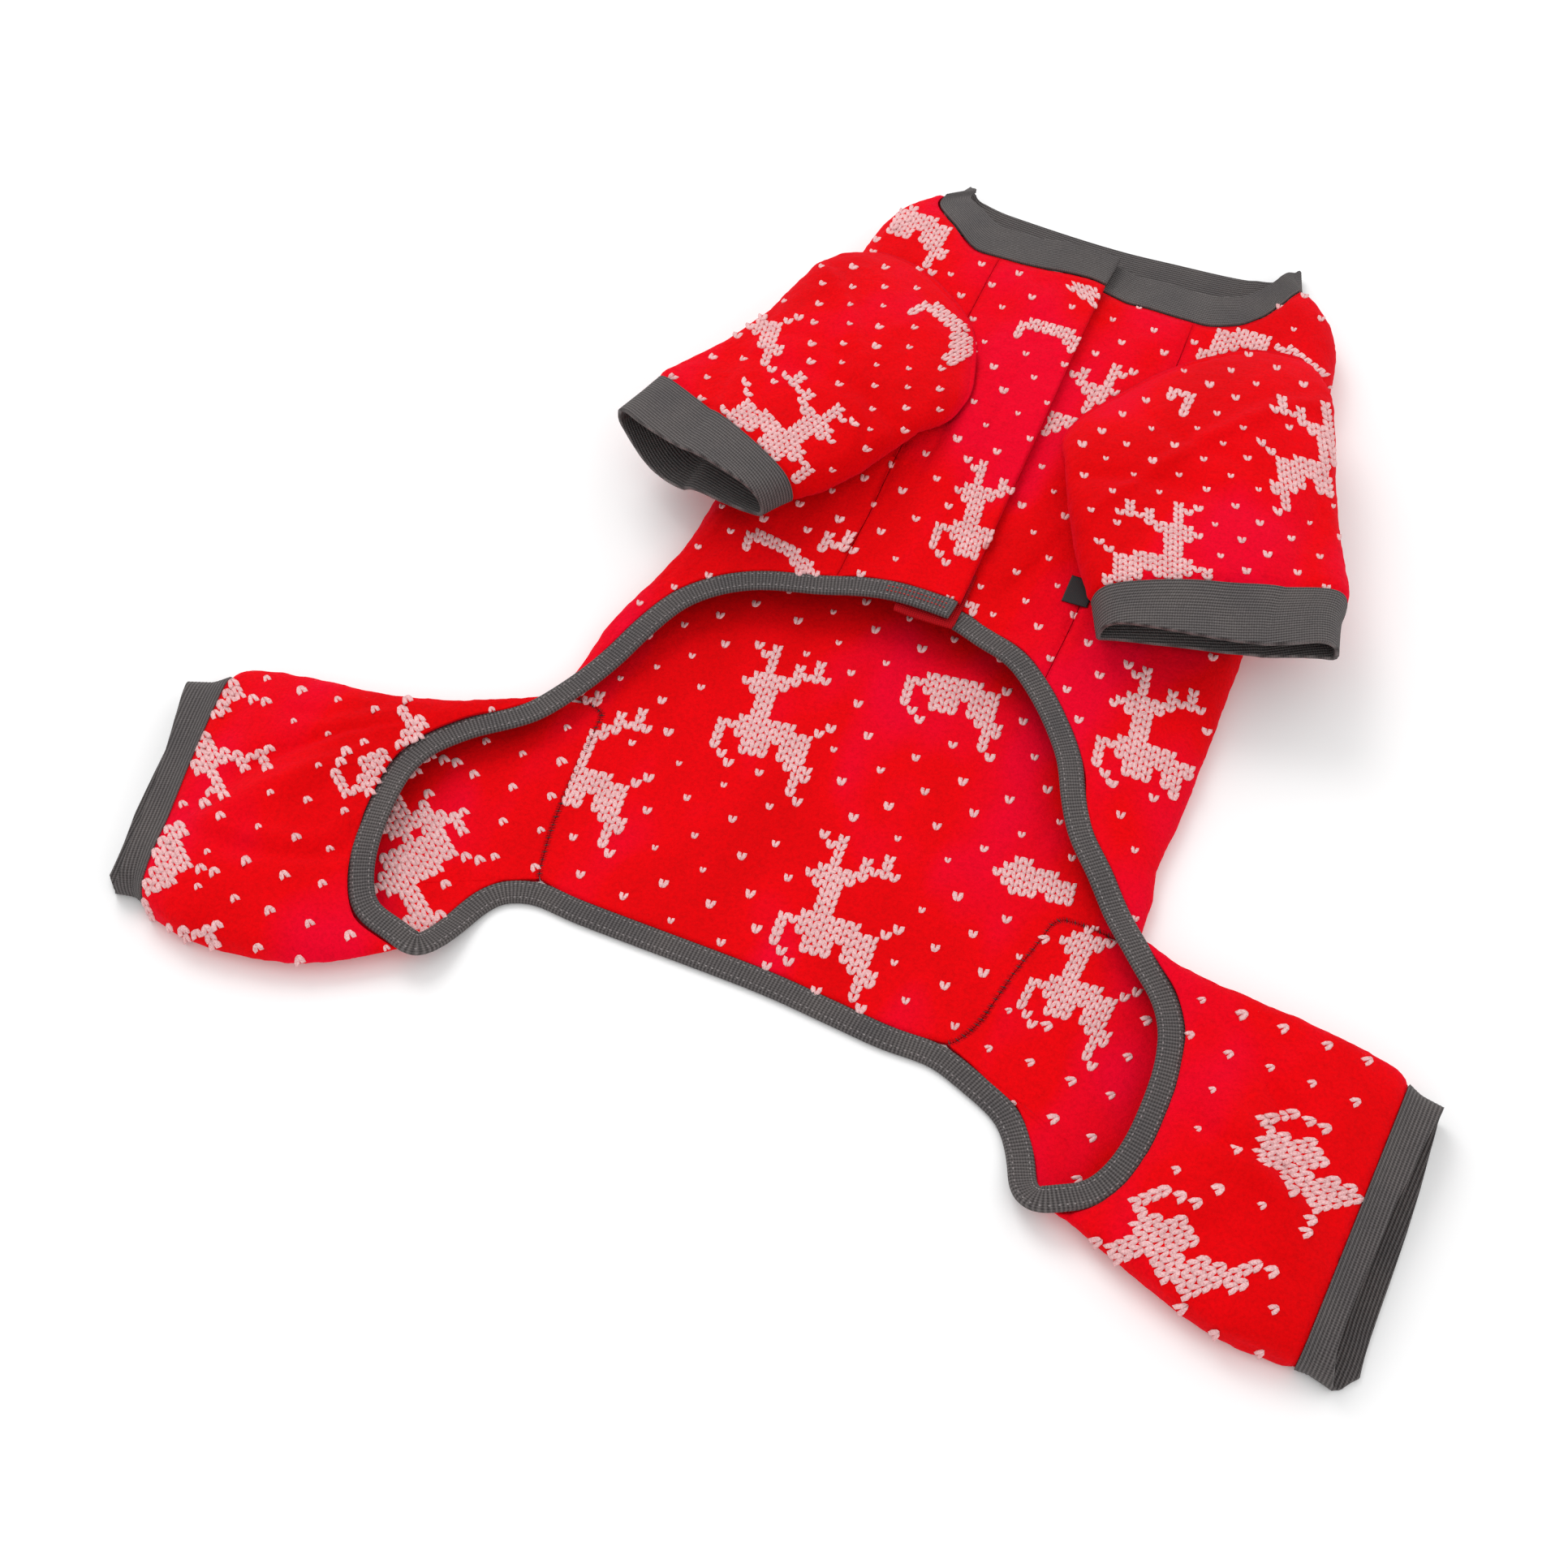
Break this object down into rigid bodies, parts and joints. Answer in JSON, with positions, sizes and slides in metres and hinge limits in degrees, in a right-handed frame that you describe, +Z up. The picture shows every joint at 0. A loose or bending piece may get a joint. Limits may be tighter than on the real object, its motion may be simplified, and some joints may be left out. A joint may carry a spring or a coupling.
{
  "type": "dog jumpsuit",
  "caption": "Fleece dog jumpsuit lying flat, belly side up, with rib-knit collar and cuffs, short front sleeves, hind legs and a bound belly opening.",
  "frame": {"origin": "centre of the footprint, on the surface that it lies on", "axes": "+Z up, +Y towards the neck, +X to the wearer's left side as it lies on its back"},
  "size_m": [0.6058, 0.625, 0.0606],
  "materials": {
    "red_fleece": "soft plush fleece",
    "grey_rib": "fine rib knit",
    "red_closure": "hook-and-loop tape",
    "dark_label": "woven satin"
  },
  "bodies": {
    "root": {"back_panel": "red_fleece", "left_chest_panel": "red_fleece", "right_chest_panel": "red_fleece", "left_sleeve": "red_fleece", "right_sleeve": "red_fleece", "left_hind_leg": "red_fleece", "right_hind_leg": "red_fleece", "collar": "grey_rib", "left_sleeve_cuff": "grey_rib", "right_sleeve_cuff": "grey_rib", "left_leg_cuff": "grey_rib", "right_leg_cuff": "grey_rib", "opening_binding": "grey_rib", "closure_tab": "red_closure", "side_label": "dark_label"}
  },
  "joints": []
}
